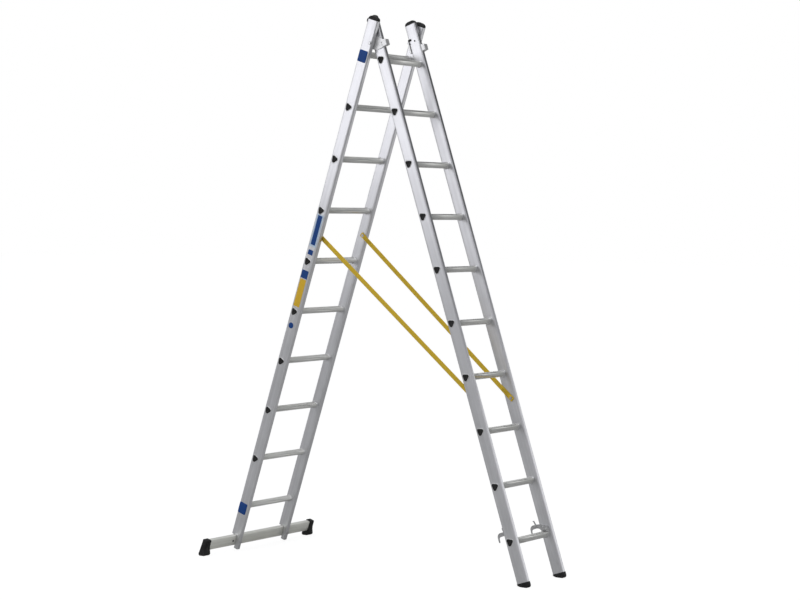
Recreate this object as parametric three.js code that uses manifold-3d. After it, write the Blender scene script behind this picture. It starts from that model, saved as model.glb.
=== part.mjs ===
// Two-section aluminium ladder, stood up as a trestle. Millimetres, +Z up.
// The wide outer section leans one way, the narrow inner section the other.
import * as THREE from 'three';
import { mergeVertices } from 'three/addons/utils/BufferGeometryUtils.js';
import Module from 'manifold-3d';

const wasm = await Module();
wasm.setup();

// Driving dimensions
const LEAN = THREE.MathUtils.degToRad(18.5); // each section from the vertical
const PIVOT_HEIGHT = 2687.5; // hinge pin above the floor
const RUNGS = 10;
const PITCH = 280;
const STILE_DEPTH = 63;
const STILE_WIDTH = 25;
const WALL = 2;
const RUNG_INSET = 23.7; // rung centre line from the stile's rear edge
const GAP = 0.3; // left between parts that touch on the real one
const OUTER = { width: 424, low: -237, high: 2703, pivot: [53.4, 2588] };
const INNER = { width: 358, low: -205, high: 2735, pivot: [9.4, 2613] };
const BAR = { half: 440, near: 12.5, far: 37.5, low: -222, high: -167 };
const STRAP = { outer: [40, 1547], inner: [37, 706], width: 25, thick: 2, stand: 3.2 };
const BOLT_RADIUS = 6;

const COLOURS = {
  aluminium: [0.78, 0.78, 0.8, 0.35, 0.9],
  steel: [0.55, 0.56, 0.58, 0.35, 0.95],
  plastic: [0.03, 0.03, 0.03, 0.45, 0],
  rubber: [0.05, 0.05, 0.05, 0.8, 0],
  webbing: [0.85, 0.62, 0.05, 0.8, 0],
};

function mesh(name, geometry, kind) {
  const [r, g, b, roughness, metalness] = COLOURS[kind];
  const color = new THREE.Color(r, g, b);
  const material = new THREE.MeshStandardMaterial({ color, roughness, metalness });
  material.name = kind;
  const part = new THREE.Mesh(geometry, material);
  part.name = name;
  return part;
}

// Solid geometry helpers. In a section X runs across the stile's depth and Z up the stile.
function toSolid(geometry) {
  const bare = geometry.clone();
  bare.deleteAttribute('normal');
  bare.deleteAttribute('uv');
  const merged = mergeVertices(bare, 1e-4);
  return new wasm.Manifold(new wasm.Mesh({
    numProp: 3,
    vertProperties: new Float32Array(merged.attributes.position.array),
    triVerts: new Uint32Array(merged.index.array),
  }));
}

function toGeometry(solid) {
  const made = solid.getMesh();
  const geometry = new THREE.BufferGeometry();
  const points = new Float32Array(made.vertProperties);
  geometry.setAttribute('position', new THREE.BufferAttribute(points, 3));
  geometry.setIndex(Array.from(made.triVerts));
  const flat = geometry.toNonIndexed();
  flat.computeVertexNormals();
  return flat;
}

function subtractAll(geometry, cutters) {
  let solid = toSolid(geometry);
  for (const cutter of cutters) solid = solid.subtract(toSolid(cutter));
  return toGeometry(solid);
}

function addAll(geometry, others) {
  let solid = toSolid(geometry);
  for (const other of others) solid = solid.add(toSolid(other));
  return toGeometry(solid);
}

function shapeOf(points) {
  return new THREE.Shape(points.map(([x, y]) => new THREE.Vector2(x, y)));
}

// An outline of [across depth, up the stile] pairs, made solid from y0 to y1.
function sidePlate(points, y0, y1, bevel = 0) {
  const geometry = new THREE.ExtrudeGeometry(shapeOf(points), {
    depth: y1 - y0 - 2 * bevel, bevelEnabled: bevel > 0, bevelThickness: bevel,
    bevelSize: bevel, bevelOffset: -bevel, bevelSegments: 2, curveSegments: 6,
  });
  geometry.rotateX(Math.PI / 2);
  geometry.translate(0, y1 - bevel, 0);
  return geometry;
}

function pin(radius, y0, y1, across, up, sides = 20) {
  const geometry = new THREE.CylinderGeometry(radius, radius, y1 - y0, sides);
  geometry.translate(across, (y0 + y1) / 2, up);
  return geometry;
}

function roundedRect(x0, y0, x1, y1, radius, steps = 3) {
  const centres = [[x1 - radius, y1 - radius, 0], [x0 + radius, y1 - radius, 1],
    [x0 + radius, y0 + radius, 2], [x1 - radius, y0 + radius, 3]];
  const points = [];
  for (const [cx, cy, quarter] of centres) {
    for (let i = 0; i <= steps; i += 1) {
      const angle = (quarter + i / steps) * Math.PI / 2;
      points.push([cx + radius * Math.cos(angle), cy + radius * Math.sin(angle)]);
    }
  }
  return points;
}

// Rings of points joined in order, and the last to the first: a closed skin round a hole.
function ringSkin(rings) {
  const count = rings[0].length;
  const points = rings.flat();
  const faces = [];
  rings.forEach((_, i) => {
    const next = ((i + 1) % rings.length) * count;
    for (let j = 0; j < count; j += 1) {
      const k = (j + 1) % count;
      faces.push(i * count + j, i * count + k, next + k, i * count + j, next + k, next + j);
    }
  });
  return orient(points, faces);
}

// Rings of points joined in order, closed by a fan at each end.
function ringSolid(rings) {
  const count = rings[0].length;
  const points = rings.flat();
  const faces = [];
  for (let i = 0; i < rings.length - 1; i += 1) {
    for (let j = 0; j < count; j += 1) {
      const k = (j + 1) % count;
      const a = i * count;
      const b = a + count;
      faces.push(a + j, a + k, b + k, a + j, b + k, b + j);
    }
  }
  const last = (rings.length - 1) * count;
  for (let j = 1; j < count - 1; j += 1) {
    faces.push(0, j + 1, j, last, last + j, last + j + 1);
  }
  return orient(points, faces);
}

function orient(points, faces) {
  let volume = 0;
  for (let i = 0; i < faces.length; i += 3) {
    const [a, b, c] = [0, 1, 2].map((k) => new THREE.Vector3(...points[faces[i + k]]));
    volume += a.dot(b.cross(c));
  }
  if (volume < 0) faces.reverse();
  const geometry = new THREE.BufferGeometry();
  geometry.setAttribute('position', new THREE.Float32BufferAttribute(points.flat(), 3));
  geometry.setIndex(faces);
  const flat = geometry.toNonIndexed();
  flat.computeVertexNormals();
  return flat;
}

// Rung section: a rounded triangle with a flat tread. Its tread is level when the section
// leans back by LEAN, so it is turned by that much in the section's own frame.
function rungOutline(grow = 0) {
  const arcs = [[10, 7, 6, 90, -32], [0, -9, 8, -32, -148], [-10, 7, 6, 212, 90]];
  const points = [];
  for (const [cx, cy, radius, from, to] of arcs) {
    for (let i = 0; i < 4; i += 1) {
      const angle = THREE.MathUtils.degToRad(from + (to - from) * i / 3);
      points.push([cx + (radius + grow) * Math.cos(angle), cy + (radius + grow) * Math.sin(angle)]);
    }
  }
  return points.map(([x, y]) => [
    x * Math.cos(LEAN) + y * Math.sin(LEAN), y * Math.cos(LEAN) - x * Math.sin(LEAN)]);
}

function rungRing(grow, y, up) {
  return rungOutline(grow).map(([x, z]) => [RUNG_INSET + x, y, up + z]);
}

// A hollow rung through both stiles, with a swaged bead against each stile's inner face.
function rung(width, up) {
  const end = width / 2;
  const face = end - STILE_WIDTH - GAP;
  const half = [[0, face], [2.2, face - 0.6], [2.2, face - 5], [0, face - 8]];
  const rings = [rungRing(0, end, up)];
  for (const [grow, y] of half) rings.push(rungRing(grow, y, up));
  for (const [grow, y] of half.reverse()) rings.push(rungRing(grow, -y, up));
  rings.push(rungRing(0, -end, up), rungRing(-WALL, -end, up), rungRing(-WALL, end, up));
  return ringSkin(rings);
}

function stileTube(low, high, centre) {
  const half = STILE_WIDTH / 2;
  const shape = shapeOf(roundedRect(0, centre - half, STILE_DEPTH, centre + half, 5));
  shape.holes.push(new THREE.Path(roundedRect(
    WALL, centre - half + WALL, STILE_DEPTH - WALL, centre + half - WALL, 3)
    .map(([x, y]) => new THREE.Vector2(x, y))));
  const geometry = new THREE.ExtrudeGeometry(shape, { depth: high - low, bevelEnabled: false });
  geometry.translate(0, 0, low);
  return geometry;
}

function rungHoles(centre) {
  const cutters = [];
  for (let i = 0; i < RUNGS; i += 1) {
    const y = STILE_WIDTH / 2 + 5;
    cutters.push(ringSolid([
      rungRing(GAP, centre - y, i * PITCH), rungRing(GAP, centre + y, i * PITCH)]));
  }
  return cutters;
}

// Height, in the section's own frame, of the floor under a point across the stile.
function floorOf(section, lean, across) {
  const [n, s] = section.pivot;
  return s + ((across - n) * Math.sin(lean) - PIVOT_HEIGHT) / Math.cos(lean);
}

function side(sign) {
  return sign < 0 ? 'near' : 'far';
}

function outerStile(sign) {
  const centre = sign * (OUTER.width - STILE_WIDTH) / 2;
  const [n, s] = OUTER.pivot;
  const y = 40;
  const clear = 1;
  const notch = sidePlate([[-5, OUTER.low - 5], [BAR.far + clear, OUTER.low - 5],
    [BAR.far + clear, BAR.high + clear], [-5, BAR.high + clear]], centre - y, centre + y);
  const bolt = pin(BOLT_RADIUS + GAP, centre - y, centre + y, n, s);
  const tube = stileTube(OUTER.low, OUTER.high, centre);
  const cut = subtractAll(tube, [...rungHoles(centre), notch, bolt]);
  return mesh(`outer_stile_${side(sign)}`, cut, 'aluminium');
}

function innerStile(sign) {
  const centre = sign * (INNER.width - STILE_WIDTH) / 2;
  const cut = subtractAll(stileTube(INNER.low, INNER.high, centre), rungHoles(centre));
  return mesh(`inner_stile_${side(sign)}`, cut, 'aluminium');
}

function rungs(section, label) {
  return Array.from({ length: RUNGS }, (_, i) => mesh(
    `${label}_rung_${String(i + 1).padStart(2, '0')}`, rung(section.width, i * PITCH), 'aluminium'));
}

// Domed cap over a stile's top end, with a spigot down inside the tube.
function topCap(section, label, sign) {
  const centre = sign * (section.width - STILE_WIDTH) / 2;
  const half = STILE_WIDTH / 2;
  const ring = (shrink, up) => roundedRect(shrink, centre - half + shrink * 0.42,
    STILE_DEPTH - shrink, centre + half - shrink * 0.42, Math.max(5 - shrink * 0.15, 1.5))
    .map(([x, y]) => [x, y, section.high + up]);
  const dome = ringSolid([ring(0, GAP), ring(0, 5), ring(1.2, 9.5), ring(4, 13.6), ring(8.5, 17),
    ring(15, 19.6), ring(23, 21)]);
  const inset = WALL + GAP + 0.2;
  const plug = roundedRect(inset, centre - half + inset, STILE_DEPTH - inset,
    centre + half - inset, 2.5);
  const spigot = ringSolid([-30, GAP + 1].map((up) => plug.map(([x, y]) => [x, y, section.high + up])));
  return mesh(`${label}_cap_${side(sign)}`, addAll(dome, [spigot]), 'plastic');
}

// Rounded rubber foot plugged into the lower end of an inner stile, with a level sole.
function innerFoot(sign) {
  const centre = sign * (INNER.width - STILE_WIDTH) / 2;
  const half = STILE_WIDTH / 2;
  const level = (n) => floorOf(INNER, -LEAN, n);
  const top = INNER.low - GAP;
  const outline = [[-0.8, top], [-0.6, top - 4], [1.5, top - 9], [5, level(5) + 3],
    [12, level(12) + 0.6], [18, level(18)], [44, level(44)], [51, level(51) + 1],
    [57, level(57) + 4], [61.5, level(61.5) + 9.5], [63.6, level(63.6) + 17], [63.8, top]];
  const body = sidePlate(outline, centre - half - 0.8, centre + half + 0.8, 2);
  const inset = WALL + GAP + 0.2;
  const plug = roundedRect(inset, centre - half + inset, STILE_DEPTH - inset,
    centre + half - inset, 2.5);
  const spigot = ringSolid([top - 3, top + 30].map((up) => plug.map(([x, y]) => [x, y, up])));
  return mesh(`inner_foot_${side(sign)}`, addAll(body, [spigot]), 'rubber');
}

// Hollow cross bar under the outer section, running out past both stiles.
function stabiliserBar() {
  const ring = (inset, y) => roundedRect(BAR.near + inset, BAR.low + inset, BAR.far - inset,
    BAR.high - inset, 3 - inset * 0.5, 2).map(([x, z]) => [x, y, z]);
  const tube = ringSkin([ring(0, BAR.half), ring(0, -BAR.half), ring(2, -BAR.half), ring(2, BAR.half)]);
  const middle = (BAR.low + BAR.high) / 2;
  const holes = [-1, 1].map((sign) => {
    const geometry = new THREE.CylinderGeometry(4.5, 4.5, 30, 16);
    geometry.rotateZ(Math.PI / 2);
    geometry.translate(BAR.far, sign * (OUTER.width / 2 + 20), middle);
    return geometry;
  });
  return mesh('stabiliser_bar', subtractAll(tube, holes), 'aluminium');
}

// Flared rubber shoe over each end of the bar.
function barFoot(sign) {
  const level = (n) => floorOf(OUTER, LEAN, n);
  const start = BAR.half - 22;
  const end = BAR.half + 12;
  const top = BAR.high + 3.5;
  const outline = (inset) => [[9 + inset, top - 2 - inset], [9 + inset, -200], [7.5 + inset, -216],
    [2 + inset, level(2) + 12], [6 + inset, level(6) + 4], [16, level(16)], [42, level(42)],
    [52 - inset, level(52) + 4], [54 - inset, level(54) + 11], [45 - inset, -214],
    [41.5 - inset, -199], [41 - inset, top - 2 - inset], [38 - inset, top - inset],
    [12 + inset, top - inset]];
  const ring = (inset, y) => outline(inset).map(([x, z]) => [x, sign * y, z]);
  const body = ringSolid([ring(2, start), ring(0, start + 3), ring(0, end), ring(1, end + 2.5),
    ring(3, end + 4)]);
  const pocket = roundedRect(BAR.near - GAP, BAR.low - GAP, BAR.far + GAP, BAR.high + GAP, 3, 2);
  const cavity = ringSolid([start - 5, BAR.half + GAP].map(
    (y) => pocket.map(([x, z]) => [x, sign * y, z])));
  return mesh(`bar_foot_${side(sign)}`, subtractAll(body, [cavity]), 'rubber');
}

// Angle bracket and bolt that hold the bar to each stile's tail.
function barBolt(sign) {
  const y = sign * (OUTER.width - STILE_WIDTH) / 2;
  const middle = (BAR.low + BAR.high) / 2;
  const washer = new THREE.CylinderGeometry(8, 8, 2.5, 20);
  const head = new THREE.CylinderGeometry(5.5, 6.5, 6, 6);
  head.translate(0, 3, 0);
  const bolt = toGeometry(toSolid(washer).add(toSolid(head)));
  bolt.rotateZ(-Math.PI / 2);
  bolt.translate(STILE_DEPTH + 1.25 + GAP, y, middle);
  return mesh(`bar_bolt_${side(sign)}`, bolt, 'steel');
}

// Pivot bolt through an outer stile and its guide bracket.
function pivotBolt(sign) {
  const [n, s] = OUTER.pivot;
  const inside = OUTER.width / 2 - STILE_WIDTH - 8 + 1;
  const out = OUTER.width / 2 + GAP;
  const place = (a, b) => (sign < 0 ? [-b, -a] : [a, b]);
  const shank = pin(BOLT_RADIUS, ...place(inside, out + 2), n, s);
  const collar = pin(11, ...place(out, out + 2.5), n, s, 24);
  const head = pin(8, ...place(out + 2, out + 8), n, s, 6);
  return mesh(`pivot_bolt_${side(sign)}`, addAll(shank, [collar, head]), 'steel');
}

// Guide bracket: a plate beside the inner stile with a lip round each edge of it.
function guideBracket(sign) {
  const [n, s] = INNER.pivot;
  const low = s - 40;
  const high = s + 44;
  const half = INNER.width / 2;
  const place = (a, b) => (sign < 0 ? [-b, -a] : [a, b]);
  const out = STILE_DEPTH + 23;
  const plate = sidePlate([[-10, low + 16], [20, low + 2], [46, low], [STILE_DEPTH + 2, low + 4],
    [out, low + 6], [out, low + 36], [STILE_DEPTH + 4, low + 42], [36, high - 10], [6, high],
    [-10, high - 4]], ...place(half + 2, half + 5));
  const rear = sidePlate([[-10, low + 16], [-2, low + 16], [-2, high - 1.5], [-10, high - 4]],
    ...place(half - 28, half + 4));
  const front = sidePlate([[STILE_DEPTH + 2, low + 5], [out, low + 6], [out, low + 36],
    [STILE_DEPTH + 2, low + 41]], ...place(half - 24, half + 4));
  const joined = addAll(plate, [rear, front]);
  const hole = pin(BOLT_RADIUS + 0.08, ...place(half - 30, half + 20), n, s);
  const relief = pin(BOLT_RADIUS + 5, ...place(half - 30, half + 1.9), n, s);
  return mesh(`guide_bracket_${side(sign)}`, subtractAll(joined, [hole, relief]), 'steel');
}

// Fixed hook at the foot of the inner section; it hangs over a rung of the outer one.
function hook(sign) {
  const half = INNER.width / 2 - STILE_WIDTH - GAP;
  const place = (a, b) => (sign < 0 ? [-b, -a] : [a, b]);
  const outline = [[55, 22], [50, 34], [36, 44], [12, 53], [-14, 57], [-38, 57.5], [-49, 52],
    [-55, 42], [-56, 24], [-55, 12], [-53, 10], [-50.5, 13], [-50, 30], [-46, 36], [-38, 37.5],
    [-14, 37.5], [-2, 33], [6, 24], [12, 20.5], [26, 20.5], [45, 15], [47.5, 6], [54, 8]];
  return mesh(`hook_${side(sign)}`, sidePlate(outline, ...place(half - 6, half)), 'steel');
}

// Sprung latch on the inner face of each hook: a short lever on a small pin, with a thumb tab.
const LATCH = { across: -14, up: 47.5, radius: 2.5 };

function latchFace() {
  return INNER.width / 2 - STILE_WIDTH - GAP - 6.4;
}

function latch(sign) {
  const face = latchFace();
  const place = (a, b) => (sign < 0 ? [-b, -a] : [a, b]);
  const outline = [[-8, 42], [6, 38.5], [8, 41], [-3, 50], [-9, 54], [-12.5, 57], [-18, 76],
    [-21, 79], [-24, 77], [-20.5, 56], [-21, 49], [-19, 44], [-14, 41.5]];
  const lever = sidePlate(outline, ...place(face - 2.5, face));
  const tab = sidePlate([[-21, 73], [-18, 74], [-19, 78.5], [-23.5, 77]], ...place(face - 10, face));
  const hole = pin(LATCH.radius + 0.08, ...place(face - 8, face + 2), LATCH.across, LATCH.up);
  return mesh(`latch_${side(sign)}`, subtractAll(addAll(lever, [tab]), [hole]), 'steel');
}

function latchPin(sign) {
  const face = latchFace();
  const place = (a, b) => (sign < 0 ? [-b, -a] : [a, b]);
  const shank = pin(LATCH.radius, ...place(face - 3.5, face + 0.2), LATCH.across, LATCH.up, 16);
  const head = pin(4.5, ...place(face - 5, face - 2.8), LATCH.across, LATCH.up, 16);
  return mesh(`latch_pin_${side(sign)}`, addAll(shank, [head]), 'steel');
}

// Sections: both are drawn from their bottom rung and hung on the hinge line.
function section(name, spec, lean, parts) {
  const inner = new THREE.Group();
  inner.name = `${name}_parts`;
  inner.position.set(-spec.pivot[0], 0, -spec.pivot[1]);
  for (const part of parts) inner.add(part);
  const group = new THREE.Group();
  group.name = name;
  group.position.set(0, 0, PIVOT_HEIGHT);
  group.rotation.y = lean;
  group.add(inner);
  return group;
}

function inFrame(spec, lean, [n, s]) {
  const point = new THREE.Vector3(n - spec.pivot[0], 0, s - spec.pivot[1]);
  point.applyAxisAngle(new THREE.Vector3(0, 1, 0), lean);
  return [point.x, point.z + PIVOT_HEIGHT];
}

// Webbing strap that limits the spread, between the inner faces of the two stiles.
function strap(sign) {
  const a = inFrame(OUTER, LEAN, STRAP.outer);
  const b = inFrame(INNER, -LEAN, STRAP.inner);
  const ya = OUTER.width / 2 - STILE_WIDTH - STRAP.stand;
  const yb = INNER.width / 2 - STILE_WIDTH - STRAP.stand;
  const length = Math.hypot(b[0] - a[0], b[1] - a[1]);
  const along = [(b[0] - a[0]) / length, (b[1] - a[1]) / length];
  const ring = (reach, y) => [-1, 1].flatMap((edge) => [-1, 1].map((skin) => [
    a[0] + along[0] * reach - along[1] * edge * STRAP.width / 2,
    sign * (y + skin * edge * STRAP.thick / 2),
    a[1] + along[1] * reach + along[0] * edge * STRAP.width / 2]));
  const end = 14;
  const rings = [ring(-end, ya), ring(end, ya), ring(length - end, yb), ring(length + end, yb)];
  return mesh(`strap_${side(sign)}`, ringSolid(rings), 'webbing');
}

// Screw and washer that pin a strap's end to the stile.
function strapScrew(label, spec, [n, s], sign) {
  const face = spec.width / 2 - STILE_WIDTH - STRAP.stand - STRAP.thick / 2 - GAP;
  const place = (a, b) => (sign < 0 ? [-b, -a] : [a, b]);
  const washer = pin(8, ...place(face - 1.5, face), n, s, 20);
  const head = pin(4.5, ...place(face - 5, face - 1), n, s, 6);
  return mesh(`${label}_strap_screw_${side(sign)}`, addAll(washer, [head]), 'steel');
}

const sides = [-1, 1];
const outer = section('outer_section', OUTER, LEAN, [
  ...sides.map(outerStile), ...rungs(OUTER, 'outer'),
  ...sides.map((sign) => topCap(OUTER, 'outer', sign)),
  stabiliserBar(), ...sides.map(barFoot), ...sides.map(barBolt), ...sides.map(pivotBolt),
  ...sides.map((sign) => strapScrew('outer', OUTER, STRAP.outer, sign)),
]);
const brackets = section('guide_brackets', INNER, -LEAN, sides.map(guideBracket));
const inner = section('inner_section', INNER, -LEAN, [
  ...sides.map(innerStile), ...rungs(INNER, 'inner'),
  ...sides.map((sign) => topCap(INNER, 'inner', sign)),
  ...sides.map(innerFoot), ...sides.map(hook), ...sides.map(latch), ...sides.map(latchPin),
  ...sides.map((sign) => strapScrew('inner', INNER, STRAP.inner, sign)),
]);

const group = new THREE.Group();
group.name = 'extension_ladder';
group.add(outer, brackets, inner, ...sides.map(strap));

// Origin under the middle of the whole ladder, on the floor.
group.updateMatrixWorld(true);
const bounds = new THREE.Box3().setFromObject(group, true);
const middle = bounds.getCenter(new THREE.Vector3());
for (const child of group.children) {
  child.position.x -= middle.x;
  child.position.y -= middle.y;
  child.position.z -= bounds.min.z;
}
export default group;
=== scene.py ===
"""Two-section aluminium ladder standing as a trestle: finishes, small parts, lights, camera."""

import math

import bmesh
import bpy
from mathutils import Matrix, Vector


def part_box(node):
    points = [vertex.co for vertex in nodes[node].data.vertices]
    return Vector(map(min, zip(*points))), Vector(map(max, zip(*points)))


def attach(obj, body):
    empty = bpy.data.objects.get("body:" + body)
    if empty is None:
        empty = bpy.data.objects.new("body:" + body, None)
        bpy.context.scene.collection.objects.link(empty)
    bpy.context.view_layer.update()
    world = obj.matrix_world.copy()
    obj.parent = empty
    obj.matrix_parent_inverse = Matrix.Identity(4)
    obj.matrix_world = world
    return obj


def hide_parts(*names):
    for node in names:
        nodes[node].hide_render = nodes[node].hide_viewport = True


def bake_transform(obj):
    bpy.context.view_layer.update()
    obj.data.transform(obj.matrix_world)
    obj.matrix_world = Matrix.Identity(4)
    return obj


LEAN = math.radians(18.5)
PITCH = 0.280
RUNGS = 10
RUNG_INSET = 0.0237
STILE_WIDTH = 0.025
OUTER = {"width": 0.424, "low": -0.237, "high": 2.703, "pivot": (0.0534, 2.588), "lean": LEAN}
INNER = {"width": 0.358, "low": -0.205, "high": 2.735, "pivot": (0.0094, 2.613), "lean": -LEAN}
STRAP_ENDS = ((0.040, 1.547), (0.037, 0.706))
STRAP_WIDTH = 0.025
SHARP = math.radians(44)

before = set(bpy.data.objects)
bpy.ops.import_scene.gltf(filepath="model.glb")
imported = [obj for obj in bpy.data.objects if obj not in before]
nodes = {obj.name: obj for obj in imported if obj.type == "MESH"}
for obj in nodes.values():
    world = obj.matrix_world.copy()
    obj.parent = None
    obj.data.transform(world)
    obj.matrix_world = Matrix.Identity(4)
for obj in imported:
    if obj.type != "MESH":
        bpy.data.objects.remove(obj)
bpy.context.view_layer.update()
_low, _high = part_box("pivot_bolt_near")
PIVOT = (_low + _high) / 2


# Places. A section is drawn by how far across its stile (n), along Y, and up it (s).
def section_matrix(section):
    n, s = section["pivot"]
    turn = Matrix.Rotation(section["lean"], 4, "Y")
    return Matrix.Translation((PIVOT.x, 0, PIVOT.z)) @ turn @ Matrix.Translation((-n, 0, -s))


def place(section, n, y, s):
    return section_matrix(section) @ Vector((n, y, s))


# Materials
def new_material(name):
    material = bpy.data.materials.new(name)
    material.use_nodes = True
    tree = material.node_tree
    shader = tree.nodes["Principled BSDF"]
    return material, tree, shader


def add(tree, kind, **values):
    node = tree.nodes.new(kind)
    for key, value in values.items():
        if hasattr(node, key):
            setattr(node, key, value)
        else:
            node.inputs[key.replace("_", " ")].default_value = value
    return node


def stretched_noise(tree, lean, stretch, scale, detail=3.0):
    """Noise drawn out along one direction of a section that leans by this much."""
    where = add(tree, "ShaderNodeTexCoord")
    turned = add(tree, "ShaderNodeMapping", vector_type="POINT")
    turned.inputs["Rotation"].default_value = (0, -lean, 0)
    drawn = add(tree, "ShaderNodeMapping", vector_type="POINT")
    drawn.inputs["Scale"].default_value = stretch
    noise = add(tree, "ShaderNodeTexNoise", Scale=scale, Detail=detail)
    tree.links.new(where.outputs["Object"], turned.inputs["Vector"])
    tree.links.new(turned.outputs["Vector"], drawn.inputs["Vector"])
    tree.links.new(drawn.outputs["Vector"], noise.inputs["Vector"])
    return noise


def ramp(tree, source, low, high, start=0.35, end=0.65):
    node = add(tree, "ShaderNodeValToRGB")
    node.color_ramp.elements[0].position = start
    node.color_ramp.elements[0].color = low
    node.color_ramp.elements[1].position = end
    node.color_ramp.elements[1].color = high
    tree.links.new(source, node.inputs["Fac"])
    return node.outputs["Color"]


def bump(tree, shader, source, strength, distance, soften=0.0):
    node = add(tree, "ShaderNodeBump", Strength=strength, Distance=distance)
    tree.links.new(source, node.inputs["Height"])
    if soften:
        edge = add(tree, "ShaderNodeBevel", samples=4, Radius=soften)
        tree.links.new(edge.outputs["Normal"], node.inputs["Normal"])
    tree.links.new(node.outputs["Normal"], shader.inputs["Normal"])


def grey(value, blue=0.0):
    return (value, value, value + blue, 1)


def extruded_aluminium(name, lean, stretch, dark, light, roughness, metallic=0.9):
    """Drawn aluminium with faint die lines along its length and a soft cloudiness."""
    material, tree, shader = new_material(name)
    lines = stretched_noise(tree, lean, stretch, 60.0)
    clouds = stretched_noise(tree, lean, (1, 1, 1), 7.0, 2.0)
    fine = ramp(tree, lines.outputs["Fac"], dark, light, 0.3, 0.7)
    patch = ramp(tree, clouds.outputs["Fac"], grey(0.93), grey(1.0))
    mix = add(tree, "ShaderNodeMix", data_type="RGBA", blend_type="MULTIPLY")
    mix.inputs[0].default_value = 1.0
    tree.links.new(fine, mix.inputs[6])
    tree.links.new(patch, mix.inputs[7])
    tree.links.new(mix.outputs[2], shader.inputs["Base Color"])
    rough = add(tree, "ShaderNodeMapRange")
    rough.inputs["To Min"].default_value = roughness - 0.05
    rough.inputs["To Max"].default_value = roughness + 0.07
    tree.links.new(lines.outputs["Fac"], rough.inputs["Value"])
    tree.links.new(rough.outputs["Result"], shader.inputs["Roughness"])
    shader.inputs["Metallic"].default_value = metallic
    bump(tree, shader, lines.outputs["Fac"], 0.18, 0.0002, 0.0012)
    return material


def moulded(name, dark, light, roughness, grain=900.0, strength=0.25):
    """Moulded plastic or rubber with a fine grain."""
    material, tree, shader = new_material(name)
    noise = stretched_noise(tree, 0.0, (1, 1, 1), grain, 4.0)
    broad = stretched_noise(tree, 0.0, (1, 1, 1), 30.0, 2.0)
    tree.links.new(ramp(tree, broad.outputs["Fac"], dark, light), shader.inputs["Base Color"])
    shader.inputs["Roughness"].default_value = roughness
    shader.inputs["Specular IOR Level"].default_value = 0.22
    bump(tree, shader, noise.outputs["Fac"], strength, 0.0002, 0.0008)
    return material


def plated_steel(name, dark, light, roughness, metallic=0.95):
    material, tree, shader = new_material(name)
    noise = stretched_noise(tree, 0.0, (1, 1, 1), 220.0, 5.0)
    tree.links.new(ramp(tree, noise.outputs["Fac"], dark, light), shader.inputs["Base Color"])
    shader.inputs["Metallic"].default_value = metallic
    shader.inputs["Roughness"].default_value = roughness
    shader.inputs["Specular IOR Level"].default_value = 0.22
    bump(tree, shader, noise.outputs["Fac"], 0.2, 0.0002, 0.0006)
    return material


def printed(name, colour, edge):
    """A stuck-on plain colour patch, a little worn."""
    material, tree, shader = new_material(name)
    noise = stretched_noise(tree, 0.0, (1, 1, 1), 160.0, 6.0)
    tree.links.new(ramp(tree, noise.outputs["Fac"], edge, colour, 0.28, 0.42),
                   shader.inputs["Base Color"])
    shader.inputs["Roughness"].default_value = 0.55
    shader.inputs["Specular IOR Level"].default_value = 0.3
    bump(tree, shader, noise.outputs["Fac"], 0.05, 0.0001)
    return material


def webbing(name, dark, light):
    """Flat woven webbing: a herringbone of two waves in the strap's own running direction."""
    material, tree, shader = new_material(name)
    where = add(tree, "ShaderNodeTexCoord")
    across = add(tree, "ShaderNodeTexWave", wave_type="BANDS", bands_direction="X", Scale=260.0,
                 Distortion=0.6, Detail=1.0)
    along = add(tree, "ShaderNodeTexWave", wave_type="BANDS", bands_direction="Y", Scale=5.2,
                Distortion=0.4, Detail=1.0)
    tree.links.new(where.outputs["UV"], across.inputs["Vector"])
    tree.links.new(where.outputs["UV"], along.inputs["Vector"])
    weave = add(tree, "ShaderNodeMath", operation="MULTIPLY")
    tree.links.new(across.outputs["Fac"], weave.inputs[0])
    tree.links.new(along.outputs["Fac"], weave.inputs[1])
    tree.links.new(ramp(tree, weave.outputs["Value"], dark, light, 0.0, 0.8),
                   shader.inputs["Base Color"])
    shader.inputs["Roughness"].default_value = 0.72
    bump(tree, shader, weave.outputs["Value"], 0.5, 0.0004)
    return material


LINES_UP = (1, 1, 0.02)
LINES_ALONG = (1, 0.02, 1)
MATERIALS = {
    "outer": extruded_aluminium("outer_stiles", LEAN, LINES_UP, grey(0.66, 0.015),
                                grey(0.76, 0.02), 0.34),
    "inner": extruded_aluminium("inner_stiles", -LEAN, LINES_UP, grey(0.66, 0.015),
                                grey(0.76, 0.02), 0.34),
    "rung": extruded_aluminium("rungs", 0.0, LINES_ALONG, (0.74, 0.74, 0.71, 1),
                               (0.90, 0.90, 0.87, 1), 0.28),
    "bar": extruded_aluminium("bar", LEAN, LINES_ALONG, (0.80, 0.80, 0.74, 1),
                              (0.92, 0.92, 0.86, 1), 0.42, 0.6),
    "steel": plated_steel("zinc_plate", grey(0.45), grey(0.62, 0.01), 0.32),
    "bright": plated_steel("bright_zinc", grey(0.66), grey(0.80), 0.36, 0.6),
    "plastic": moulded("black_plastic", grey(0.012), grey(0.026), 0.5, 700.0, 0.15),
    "rubber": moulded("black_rubber", grey(0.012), grey(0.03), 0.62, 500.0, 0.4),
    "strap": webbing("yellow_webbing", (0.70, 0.44, 0.015, 1), (0.95, 0.72, 0.05, 1)),
    "stitch": moulded("brown_thread", (0.08, 0.04, 0.004, 1), (0.20, 0.11, 0.01, 1), 0.8),
    "blue": printed("blue_patch", (0.003, 0.055, 0.25, 1), (0.006, 0.075, 0.30, 1)),
    "pale": printed("pale_patch", (0.55, 0.68, 0.82, 1), (0.42, 0.58, 0.78, 1)),
    "amber": printed("amber_patch", (0.80, 0.50, 0.03, 1), (0.55, 0.33, 0.05, 1)),
}


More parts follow.
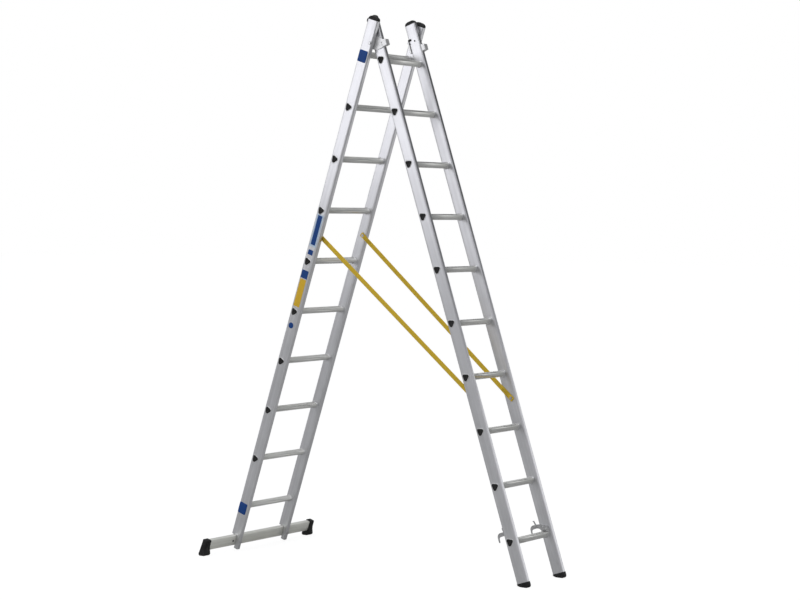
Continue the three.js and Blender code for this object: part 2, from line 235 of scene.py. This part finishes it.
def paint_nodes():
    rules = (("outer_stile", "outer"), ("inner_stile", "inner"), ("_rung_", "rung"),
             ("stabiliser_bar", "bar"), ("_cap_", "plastic"), ("foot", "rubber"),
             ("guide_bracket", "bright"), ("hook", "steel"))
    for name, node in nodes.items():
        key = next((k for word, k in rules if word in name), "steel")
        node.data.materials.clear()
        node.data.materials.append(MATERIALS[key])
        smooth_node(node)


def smooth_node(node):
    if "custom_normal" in node.data.attributes:
        node.data.attributes.remove(node.data.attributes["custom_normal"])
    node.data.polygons.foreach_set("use_smooth", [True] * len(node.data.polygons))
    weld = node.modifiers.new("weld", "WELD")
    weld.merge_threshold = 0.00002
    split = node.modifiers.new("split", "EDGE_SPLIT")
    split.split_angle = SHARP


# Pieces
def make(name, verts, faces, section, body, key):
    mesh = bpy.data.meshes.new(name)
    matrix = section_matrix(section) if section else Matrix.Identity(4)
    mesh.from_pydata([matrix @ Vector(v) for v in verts], [], faces)
    mesh.validate()
    work = bmesh.new()
    work.from_mesh(mesh)
    bmesh.ops.recalc_face_normals(work, faces=work.faces)
    work.to_mesh(mesh)
    work.free()
    mesh.materials.append(MATERIALS[key])
    mesh.polygons.foreach_set("use_smooth", [True] * len(mesh.polygons))
    piece = bpy.data.objects.new(name, mesh)
    bpy.context.scene.collection.objects.link(piece)
    split = piece.modifiers.new("split", "EDGE_SPLIT")
    split.split_angle = SHARP
    if body:
        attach(piece, body)
    return piece


class Build:
    """Collects rings of points into one mesh."""

    def __init__(self):
        self.verts, self.faces = [], []

    def rings(self, rings, closed=False, cap_start=True, cap_end=True):
        count = len(rings[0])
        base = len(self.verts)
        for ring in rings:
            self.verts.extend(ring)
        bands = len(rings) if closed else len(rings) - 1
        for i in range(bands):
            a = base + i * count
            b = base + ((i + 1) % len(rings)) * count
            for j in range(count):
                k = (j + 1) % count
                self.faces.append((a + j, a + k, b + k, b + j))
        if not closed and cap_start:
            self.faces.append(tuple(base + j for j in range(count)))
        if not closed and cap_end:
            top = base + (len(rings) - 1) * count
            self.faces.append(tuple(top + j for j in range(count)))


def rung_outline(grow=0.0, steps=7):
    """The rung's rounded-triangle section, tread turned to lie level, as (n, s) offsets."""
    arcs = ((0.010, 0.007, 0.006, 90, -32), (0.0, -0.009, 0.008, -32, -148),
            (-0.010, 0.007, 0.006, 212, 90))
    points = []
    for cx, cy, radius, start, end in arcs:
        for i in range(steps):
            angle = math.radians(start + (end - start) * i / (steps - 1))
            reach = max(radius + grow, 0.0008)
            x = cx * shrink(grow) + reach * math.cos(angle)
            y = cy * shrink(grow) + reach * math.sin(angle)
            points.append((x * math.cos(LEAN) + y * math.sin(LEAN),
                           y * math.cos(LEAN) - x * math.sin(LEAN)))
    return points


def shrink(grow):
    return 1.0 if grow > -0.005 else max(0.15, 1 + (grow + 0.005) / 0.011)


def rung_ring(grow, y, s):
    return [(RUNG_INSET + n, y, s + up) for n, up in rung_outline(grow)]


def rung_plugs(label, section, sign, skipped=()):
    """Black plugs in the rung ends and the bright rims they sit in, for one stile."""
    plugs, rims = Build(), Build()
    face = section["width"] / 2
    for i in range(RUNGS):
        if i in skipped:
            continue
        s = i * PITCH
        plugs.rings([rung_ring(g, sign * (face + y), s) for g, y in (
            (-0.0024, -0.004), (-0.0024, 0.0004), (0.0018, 0.0004), (0.0018, 0.0018),
            (0.0004, 0.0032), (-0.0030, 0.0040), (-0.0046, 0.0036), (-0.0060, 0.0026))])
        rims.rings([rung_ring(g, sign * (face + y), s) for g, y in (
            (0.0052, 0.0002), (0.0050, 0.0009), (0.0040, 0.0016), (0.0026, 0.0016),
            (0.0020, 0.0003))], closed=True)
    side = "near" if sign < 0 else "far"
    body = "outer_section" if label == "outer" else "inner_section"
    make(f"{label}_plugs_{side}", plugs.verts, plugs.faces, section, body, "plastic")
    make(f"{label}_rims_{side}", rims.verts, rims.faces, section, body, "bright")


def tread_ribs(label, section):
    """Fine raised ribs along the tread of every rung, for grip."""
    build = Build()
    reach = section["width"] / 2 - STILE_WIDTH - 0.003
    profile = ((-0.0008, 0.0124), (0.0008, 0.0124), (0.0005, 0.0138), (-0.0005, 0.0138))
    for i in range(RUNGS):
        for across in (-0.010, -0.006, -0.002, 0.002, 0.006, 0.010):
            turned = [((x + across) * math.cos(LEAN) + y * math.sin(LEAN),
                       y * math.cos(LEAN) - (x + across) * math.sin(LEAN)) for x, y in profile]
            build.rings([[(RUNG_INSET + n, y, i * PITCH + s) for n, s in turned]
                         for y in (-reach, reach)])
    body = "outer_section" if label == "outer" else "inner_section"
    make(f"{label}_tread_ribs", build.verts, build.faces, section, body, "rung")


def collars(label, section):
    """The swaged rims where each rung meets the stiles' inner faces."""
    face = section["width"] / 2 - STILE_WIDTH
    body = "outer_section" if label == "outer" else "inner_section"
    for sign, side in ((-1, "near"), (1, "far")):
        build = Build()
        for i in range(RUNGS):
            build.rings([rung_ring(grow, sign * (face - y), i * PITCH) for grow, y in (
                (0.0040, 0.0003), (0.0040, 0.0010), (0.0032, 0.0018), (0.0018, 0.0026),
                (0.0010, 0.0040), (0.0004, 0.0044))])
        make(f"{label}_collars_{side}", build.verts, build.faces, section, body, label)


def rounded_patch(n, s, width, height, radius, steps=5):
    points = []
    for cx, cy, quarter in ((1, 1, 0), (-1, 1, 1), (-1, -1, 2), (1, -1, 3)):
        x, y = n + cx * (width / 2 - radius), s + cy * (height / 2 - radius)
        for i in range(steps):
            angle = (quarter + i / (steps - 1)) * math.pi / 2
            points.append((x + radius * math.cos(angle), y + radius * math.sin(angle)))
    return points


def patch(name, section, body, key, at, size, radius, thick, sign=-1, lift=0.0002, dome=0.0):
    """A flat stuck-on patch on a stile's outer face, optionally with a domed edge."""
    face = section["width"] / 2 + lift
    steps = ((0, 0), (0, thick * 0.6), (0.06, thick)) if not dome else (
        (0, 0), (0, thick * 0.5), (0.08, thick * 0.85), (0.25, thick))
    rings = []
    for inset, depth in steps:
        outline = rounded_patch(at[0], at[1], size[0] * (1 - inset), size[1] * (1 - inset),
                                radius * (1 - inset))
        rings.append([(n, sign * (face + depth), s) for n, s in outline])
    build = Build()
    build.rings(rings)
    make(name, build.verts, build.faces, section, body, key)


def stuck_on_patches():
    for i, label in ((0, "low"), (RUNGS - 1, "high")):
        for sign, side in ((-1, "near"), (1, "far")):
            patch(f"blue_cap_{label}_{side}", OUTER, "outer_section", "blue",
                  (0.0285, i * PITCH - 0.008), (0.052, 0.061), 0.006, 0.0040, sign, dome=1.0)
    patch("pale_band", OUTER, "outer_section", "pale", (0.030, 1.572), (0.044, 0.176), 0.002,
          0.0003)
    patch("blue_band", OUTER, "outer_section", "blue", (0.030, 1.574), (0.029, 0.160), 0.002,
          0.0003, lift=0.0006)
    patch("blue_tag", OUTER, "outer_section", "blue", (0.028, 1.452), (0.032, 0.027), 0.002,
          0.0003)
    patch("blue_square", OUTER, "outer_section", "blue", (0.028, 1.330), (0.044, 0.044), 0.002,
          0.0003)
    patch("amber_band", OUTER, "outer_section", "amber", (0.028, 1.227), (0.040, 0.152), 0.002,
          0.0003)
    patch("blue_dot", OUTER, "outer_section", "blue", (0.027, 1.044), (0.032, 0.032), 0.0159,
          0.0006)


def dome_head(build, section_y, n, s, sign, radius, height, sides=18):
    rings = []
    for reach, up in ((1.0, 0.0), (1.0, 0.25), (0.86, 0.66), (0.55, 0.92), (0.2, 1.0)):
        rings.append([(n + radius * reach * math.cos(2 * math.pi * i / sides),
                       section_y + sign * height * up,
                       s + radius * reach * math.sin(2 * math.pi * i / sides))
                      for i in range(sides)])
    build.rings(rings)


def rivets():
    """Blind rivets through the hooks' roots and the brackets."""
    inner = INNER["width"] / 2
    for sign, side in ((-1, "near"), (1, "far")):
        build = Build()
        for n, s in ((0.0385, 0.0255), (0.023, 0.0385)):
            dome_head(build, sign * (inner - 0.0315), n, s, -sign, 0.0042, 0.0022)
        make(f"hook_rivets_{side}", build.verts, build.faces, INNER, "inner_section", "bright")
        build = Build()
        for n, s in ((0.058, 2.600), (0.058, 2.586)):
            dome_head(build, sign * (inner + 0.0051), n, s, sign, 0.0035, 0.0016)
        make(f"bracket_rivets_{side}", build.verts, build.faces, INNER, "guide_brackets", "steel")


def frame_point(section, at):
    point = place(section, at[0], 0, at[1])
    return Vector((point.x, 0, point.z))


def strap(sign, side):
    """Yellow webbing with rounded selvedges, from the outer stile to the inner one."""
    start, end = frame_point(OUTER, STRAP_ENDS[0]), frame_point(INNER, STRAP_ENDS[1])
    run = end - start
    length, along = run.length, run.normalized()
    across = Vector((-along.z, 0, along.x))
    ya = sign * (OUTER["width"] / 2 - STILE_WIDTH - 0.0032)
    yb = sign * (INNER["width"] / 2 - STILE_WIDTH - 0.0032)
    section = [(-1, 0.0), (-0.93, 0.85), (-0.6, 1), (0, 1), (0.6, 1), (0.93, 0.85), (1, 0.0),
               (0.93, -0.85), (0.6, -1), (0, -1), (-0.6, -1), (-0.93, -0.85)]
    tail, steps = 0.0138, 120
    build = Build()
    rings = []
    for i in range(steps + 1):
        reach = -tail + (length + 2 * tail) * i / steps
        t = min(max((reach - tail) / (length - 2 * tail), 0), 1)
        centre = start + along * reach + Vector((0, ya + (yb - ya) * t, 0))
        rings.append([centre + across * (w * STRAP_WIDTH / 2) + Vector((0, h * 0.001, 0))
                      for w, h in section])
    build.rings(rings)
    piece = make(f"webbing_{side}", build.verts, build.faces, None, None, "strap")
    weave_uv(piece, start, along, across)
    stitches(sign, side, start, end, along, across, ya, yb)
    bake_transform(piece)
    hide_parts(f"strap_{side}")


def weave_uv(piece, start, along, across):
    layer = piece.data.uv_layers.new(name="weave")
    for loop in piece.data.loops:
        offset = piece.data.vertices[loop.vertex_index].co - start
        layer.data[loop.index].uv = (offset.dot(along), offset.dot(across) * 40)


def stitches(sign, side, start, end, along, across, ya, yb):
    """A sewn fold at each end: rows of short threads across the doubled webbing."""
    for label, root, y, direction, body in (
            ("outer", start, ya, 1, "outer_section"), ("inner", end, yb, -1, "inner_section")):
        build = Build()
        for row in range(9):
            reach = 0.020 + row * 0.006
            for column in range(4):
                middle = root + along * (direction * reach) + Vector((0, y - sign * 0.0002, 0)) \
                    + across * ((column - 1.5) * 0.0055)
                slide = (yb - ya) * max(reach - 0.0138, 0) / (end - start).length * direction
                middle.y += slide
                for face in (-1, 1):
                    thread(build, middle + Vector((0, face * 0.0013, 0)), along, across)
        make(f"stitches_{label}_{side}", build.verts, build.faces, None, body, "stitch")


def thread(build, middle, along, across):
    corners = [(-0.0022, -0.0004), (0.0022, -0.0004), (0.0022, 0.0004), (-0.0022, 0.0004)]
    rings = []
    for y, shrunk in ((-0.0003, 1.0), (0.0003, 0.8)):
        rings.append([middle + along * (a * shrunk) + across * (c * shrunk) + Vector((0, y, 0))
                      for a, c in corners])
    build.rings(rings)


def bar_plugs():
    """Black plugs in the drilled holes of the bar, just outside the stiles."""
    face, middle = 0.0378, -0.1945
    for sign, side in ((-1, "near"), (1, "far")):
        centre = sign * (OUTER["width"] / 2 + 0.020)
        build = Build()
        build.rings([[(face + up, centre + radius * math.cos(math.pi * i / 9),
                       middle + radius * math.sin(math.pi * i / 9)) for i in range(18)]
                     for radius, up in ((0.0052, 0.0), (0.0052, 0.0008), (0.0030, 0.0016))])
        make(f"bar_plug_{side}", build.verts, build.faces, OUTER, "outer_section", "plastic")


def stop_pads():
    """Black stops on the inner faces of the inner stiles, and the bolt beside them."""
    face = INNER["width"] / 2 - STILE_WIDTH
    for sign, side in ((-1, "near"), (1, "far")):
        build = Build()
        outline = rounded_patch(0.0075, 2.6565, 0.020, 0.011, 0.004)
        build.rings([[(n, sign * (face - y), s) for n, s in outline] for y in (0.0003, 0.0022)])
        outline = rounded_patch(0.0030, 2.6380, 0.007, 0.006, 0.002)
        build.rings([[(n, sign * (face - y), s) for n, s in outline] for y in (0.0003, 0.0022)])
        dome_head(build, sign * (face - 0.0002), 0.0365, 2.6435, -sign, 0.0045, 0.0025)
        make(f"stop_pads_{side}", build.verts, build.faces, INNER, "inner_section", "plastic")


# Stage
def floor_and_sky():
    mesh = bpy.data.meshes.new("floor")
    reach = 60
    mesh.from_pydata([(-reach, -reach, -0.0005), (reach, -reach, -0.0005),
                      (reach, reach, -0.0005), (-reach, reach, -0.0005)], [], [(0, 1, 2, 3)])
    floor = bpy.data.objects.new("floor", mesh)
    bpy.context.scene.collection.objects.link(floor)
    mesh.materials.append(floor_material())
    sky()


def floor_material():
    """Near white to the camera with a faint shadow; a mid grey in what the metal reflects."""
    material, tree, shader = new_material("floor_white")
    shader.inputs["Base Color"].default_value = (0.55, 0.55, 0.54, 1)
    shader.inputs["Roughness"].default_value = 1.0
    shader.inputs["Specular IOR Level"].default_value = 0.0
    shown = add(tree, "ShaderNodeBsdfDiffuse")
    shown.inputs["Color"].default_value = (0.22, 0.22, 0.22, 1)
    glow = add(tree, "ShaderNodeEmission")
    glow.inputs["Strength"].default_value = 0.88
    both = add(tree, "ShaderNodeAddShader")
    path = add(tree, "ShaderNodeLightPath")
    mix = add(tree, "ShaderNodeMixShader")
    tree.links.new(shown.outputs["BSDF"], both.inputs[0])
    tree.links.new(glow.outputs["Emission"], both.inputs[1])
    tree.links.new(path.outputs["Is Camera Ray"], mix.inputs["Fac"])
    tree.links.new(shader.outputs["BSDF"], mix.inputs[1])
    tree.links.new(both.outputs["Shader"], mix.inputs[2])
    tree.links.new(mix.outputs["Shader"], tree.nodes["Material Output"].inputs["Surface"])
    return material


def sky():
    """White all round for the camera, and a studio of soft bands for what the metal reflects."""
    world = bpy.data.worlds.new("studio")
    bpy.context.scene.world = world
    world.use_nodes = True
    tree = world.node_tree
    tree.nodes.clear()
    where = add(tree, "ShaderNodeTexCoord")
    split = add(tree, "ShaderNodeSeparateXYZ")
    tree.links.new(where.outputs["Generated"], split.inputs["Vector"])
    bands = add(tree, "ShaderNodeMapRange")
    bands.inputs["From Min"].default_value = -0.2
    bands.inputs["From Max"].default_value = 0.9
    bands.inputs["To Min"].default_value = 0.48
    bands.inputs["To Max"].default_value = 0.60
    tree.links.new(split.outputs["Z"], bands.inputs["Value"])
    soft = add(tree, "ShaderNodeBackground")
    soft.inputs["Color"].default_value = (0.96, 0.97, 1.0, 1)
    tree.links.new(bands.outputs["Result"], soft.inputs["Strength"])
    seen = add(tree, "ShaderNodeBackground")
    seen.inputs["Color"].default_value = (1, 1, 1, 1)
    seen.inputs["Strength"].default_value = 1.0
    path = add(tree, "ShaderNodeLightPath")
    mix = add(tree, "ShaderNodeMixShader")
    out = add(tree, "ShaderNodeOutputWorld")
    tree.links.new(path.outputs["Is Camera Ray"], mix.inputs["Fac"])
    tree.links.new(soft.outputs["Background"], mix.inputs[1])
    tree.links.new(seen.outputs["Background"], mix.inputs[2])
    tree.links.new(mix.outputs["Shader"], out.inputs["Surface"])


def area_light(name, at, aim, size, power, colour=(1, 1, 1)):
    data = bpy.data.lights.new(name, "AREA")
    data.shape = "RECTANGLE"
    data.size, data.size_y = size
    data.energy = power
    data.color = colour
    lamp = bpy.data.objects.new(name, data)
    lamp.location = at
    lamp.rotation_euler = (Vector(aim) - Vector(at)).to_track_quat("-Z", "Y").to_euler()
    bpy.context.scene.collection.objects.link(lamp)


def dark_card(name, centre, aim, width, height):
    """A black card out of the camera's sight, for the metal to reflect."""
    mesh = bpy.data.meshes.new(name)
    w, h = width / 2, height / 2
    mesh.from_pydata([(-w, -h, 0), (w, -h, 0), (w, h, 0), (-w, h, 0)], [], [(0, 1, 2, 3)])
    material, _, shader = new_material(name)
    shader.inputs["Base Color"].default_value = (0.02, 0.025, 0.025, 1)
    shader.inputs["Roughness"].default_value = 1.0
    mesh.materials.append(material)
    card = bpy.data.objects.new(name, mesh)
    card.location = centre
    card.rotation_euler = (Vector(aim) - Vector(centre)).to_track_quat("-Z", "Y").to_euler()
    card.visible_camera = False
    card.visible_shadow = False
    bpy.context.scene.collection.objects.link(card)


def lights():
    area_light("front_panel", (-3.0, -4.3, 3.3), (0, 0, 2.2), (3.6, 2.8), 44, (0.96, 0.96, 1.0))
    area_light("back_low", (2.9, 3.3, 1.1), (0.7, 0, 0.9), (2.4, 1.8), 9)
    area_light("top_soft", (1.5, -1.0, 6.5), (0.3, 0, 1.0), (3, 3), 70)
    dark_card("dark_high", (2.2, 3.6, 4.4), (0, 0, 2.4), 4.5, 3.4)


def camera():
    data = bpy.data.cameras.new("camera")
    data.sensor_width = 36
    data.lens = 88.87
    data.dof.use_dof = False
    data.clip_end = 200
    eye = bpy.data.objects.new("camera", data)
    right = Vector((0.80831, 0.58875, 0.00445))
    up = Vector((-0.02818, 0.03113, 0.99912))
    forward = Vector((-0.58809, 0.80772, -0.04175))
    turn = Matrix((right, up, -forward)).transposed().to_4x4()
    eye.matrix_world = Matrix.Translation(CAMERA_AT) @ turn
    bpy.context.scene.collection.objects.link(eye)
    bpy.context.scene.camera = eye


CAMERA_AT = Vector((6.0630, -8.2726, 1.8023))

paint_nodes()
rung_plugs("outer", OUTER, -1, (0, RUNGS - 1))
rung_plugs("outer", OUTER, 1, (0, RUNGS - 1))
rung_plugs("inner", INNER, -1)
rung_plugs("inner", INNER, 1)
tread_ribs("outer", OUTER)
tread_ribs("inner", INNER)
collars("outer", OUTER)
collars("inner", INNER)
stuck_on_patches()
rivets()
stop_pads()
bar_plugs()
strap(-1, "near")
strap(1, "far")
floor_and_sky()
lights()
camera()
bpy.context.scene.view_settings.view_transform = "Standard"
